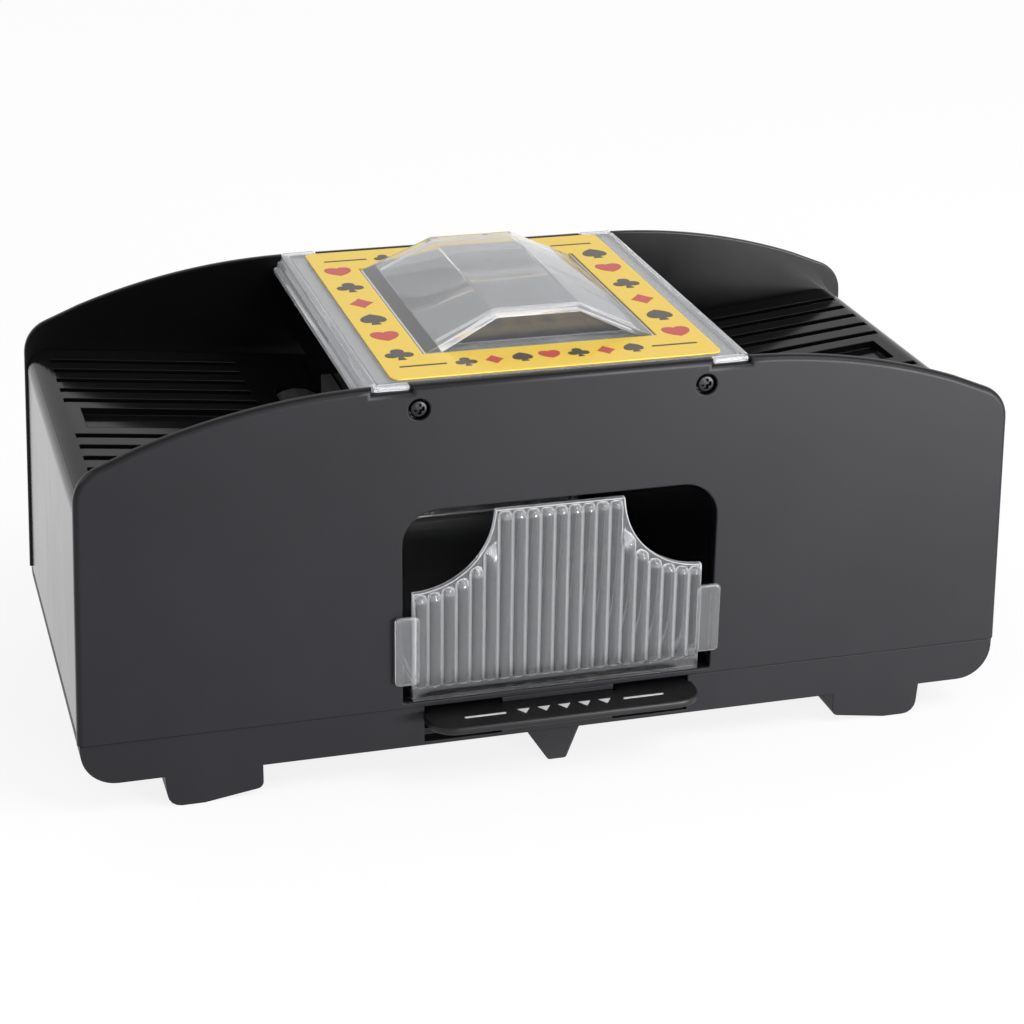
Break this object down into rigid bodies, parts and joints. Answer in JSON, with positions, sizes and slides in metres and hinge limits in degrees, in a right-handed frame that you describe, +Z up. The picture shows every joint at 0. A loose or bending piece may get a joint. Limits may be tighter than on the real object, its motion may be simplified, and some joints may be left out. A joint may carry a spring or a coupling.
{
  "type": "automatic card shuffler",
  "caption": "Battery-powered playing card shuffler with two sloping hoppers, a clear hooded cover, a ribbed clear card drawer and a press lever.",
  "frame": {"origin": "on the table, under the centre of the overall box", "axes": "+X along the length to the right, the drawer side faces -Y, +Z up"},
  "size_m": [0.204, 0.104, 0.0959],
  "materials": {
    "black_shell": "satin black moulded plastic",
    "black_inner": "glossy black moulded plastic",
    "clear_plastic": "clear polished plastic",
    "label_print": "printed yellow sheet",
    "rubber_part": "soft black rubber",
    "white_gear": "off-white acetal",
    "plated_steel": "plated steel",
    "black_steel": "black zinc",
    "motor_can": "plated can",
    "brass_part": "plain brass",
    "battery_cell": "printed sleeve",
    "red_lead": "insulated wire",
    "black_lead": "insulated wire"
  },
  "bodies": {
    "housing": {"base_tray": "black_shell", "front_panel": "black_shell", "rear_panel": "black_shell", "left_hopper": "black_inner", "right_hopper": "black_inner", "left_gate": "black_inner", "right_gate": "black_inner", "drawer_deck": "black_inner", "left_retard_pad": "rubber_part", "right_retard_pad": "rubber_part", "lever_pivot_pin": "plated_steel", "lever_return_spring": "plated_steel", "left_idler_axle": "plated_steel", "right_idler_axle": "plated_steel", "battery_terminal_plus": "plated_steel", "battery_bridge_inner": "plated_steel", "battery_terminal_minus": "plated_steel", "battery_bridge_outer_front": "plated_steel", "battery_bridge_outer_rear": "plated_steel", "base_screw_front_left": "plated_steel", "base_screw_front_right": "plated_steel", "base_screw_rear_left": "plated_steel", "base_screw_rear_right": "plated_steel", "panel_screw_front_left": "black_steel", "panel_screw_front_right": "black_steel", "panel_screw_rear_left": "black_steel", "panel_screw_rear_right": "black_steel", "left_motor": "motor_can", "right_motor": "motor_can", "left_shaft_bush": "brass_part", "right_shaft_bush": "brass_part", "supply_contact": "brass_part", "motor_contact": "brass_part", "battery_1": "battery_cell", "battery_2": "battery_cell", "battery_3": "battery_cell", "battery_4": "battery_cell", "supply_lead": "red_lead", "motor_lead": "red_lead", "return_lead": "black_lead"},
    "cover": {"top_cover": "clear_plastic", "cover_label": "label_print"},
    "drawer": {"card_drawer": "clear_plastic"},
    "lever": {"operating_lever": "black_shell", "shorting_bar": "brass_part"},
    "battery_door": {"battery_door": "black_shell"},
    "left_feed": {"left_feed_shaft": "plated_steel", "left_feed_gear": "white_gear", "left_feed_roller_inner": "rubber_part", "left_feed_roller_outer": "rubber_part"},
    "left_idler": {"left_idler_gear": "white_gear"},
    "left_pinion": {"left_motor_shaft": "plated_steel", "left_motor_pinion": "white_gear"},
    "right_feed": {"right_feed_shaft": "plated_steel", "right_feed_gear": "white_gear", "right_feed_roller_inner": "rubber_part", "right_feed_roller_outer": "rubber_part"},
    "right_idler": {"right_idler_gear": "white_gear"},
    "right_pinion": {"right_motor_shaft": "plated_steel", "right_motor_pinion": "white_gear"}
  },
  "joints": [
    {"name": "cover_lift", "type": "slide", "parent": "housing", "child": "cover", "axis": [0, 0, 1], "range_m": [0, 0.025]},
    {"name": "drawer_slide", "type": "slide", "parent": "housing", "child": "drawer", "axis": [0, -1, 0], "range_m": [0, 0.08]},
    {"name": "lever_press", "type": "hinge", "parent": "housing", "child": "lever", "pos_m": [0, -0.0154, 0.0126], "axis": [1, 0, 0], "range_deg": [0, 6.2], "stiffness_Nm_per_rad": 0.4, "springref_deg": -4.58, "deforming": ["lever_return_spring"]},
    {"name": "battery_door_drop", "type": "slide", "parent": "housing", "child": "battery_door", "axis": [0, 0, -1], "range_m": [0, 0.0065]},
    {"name": "left_feed_spin", "type": "hinge", "parent": "housing", "child": "left_feed", "pos_m": [-0.0431, 0.0046, 0.057], "axis": [0, 1, 0], "continuous": true},
    {"name": "left_idler_spin", "type": "hinge", "parent": "housing", "child": "left_idler", "pos_m": [-0.04707, 0.0046, 0.05064], "axis": [0, 1, 0], "continuous": true},
    {"name": "left_pinion_spin", "type": "hinge", "parent": "housing", "child": "left_pinion", "pos_m": [-0.05747, 0.0046, 0.04464], "axis": [0, 1, 0], "continuous": true},
    {"name": "right_feed_spin", "type": "hinge", "parent": "housing", "child": "right_feed", "pos_m": [0.0431, 0.0046, 0.057], "axis": [0, 1, 0], "continuous": true},
    {"name": "right_idler_spin", "type": "hinge", "parent": "housing", "child": "right_idler", "pos_m": [0.04707, 0.0046, 0.05064], "axis": [0, 1, 0], "continuous": true},
    {"name": "right_pinion_spin", "type": "hinge", "parent": "housing", "child": "right_pinion", "pos_m": [0.05747, 0.0046, 0.04464], "axis": [0, 1, 0], "continuous": true}
  ],
  "couplings": [
    {"joint": "left_idler_spin", "follows": "left_feed_spin", "ratio": -1.0833},
    {"joint": "left_pinion_spin", "follows": "left_feed_spin", "ratio": 3.25},
    {"joint": "right_idler_spin", "follows": "right_feed_spin", "ratio": -1.0833},
    {"joint": "right_pinion_spin", "follows": "right_feed_spin", "ratio": 3.25}
  ]
}
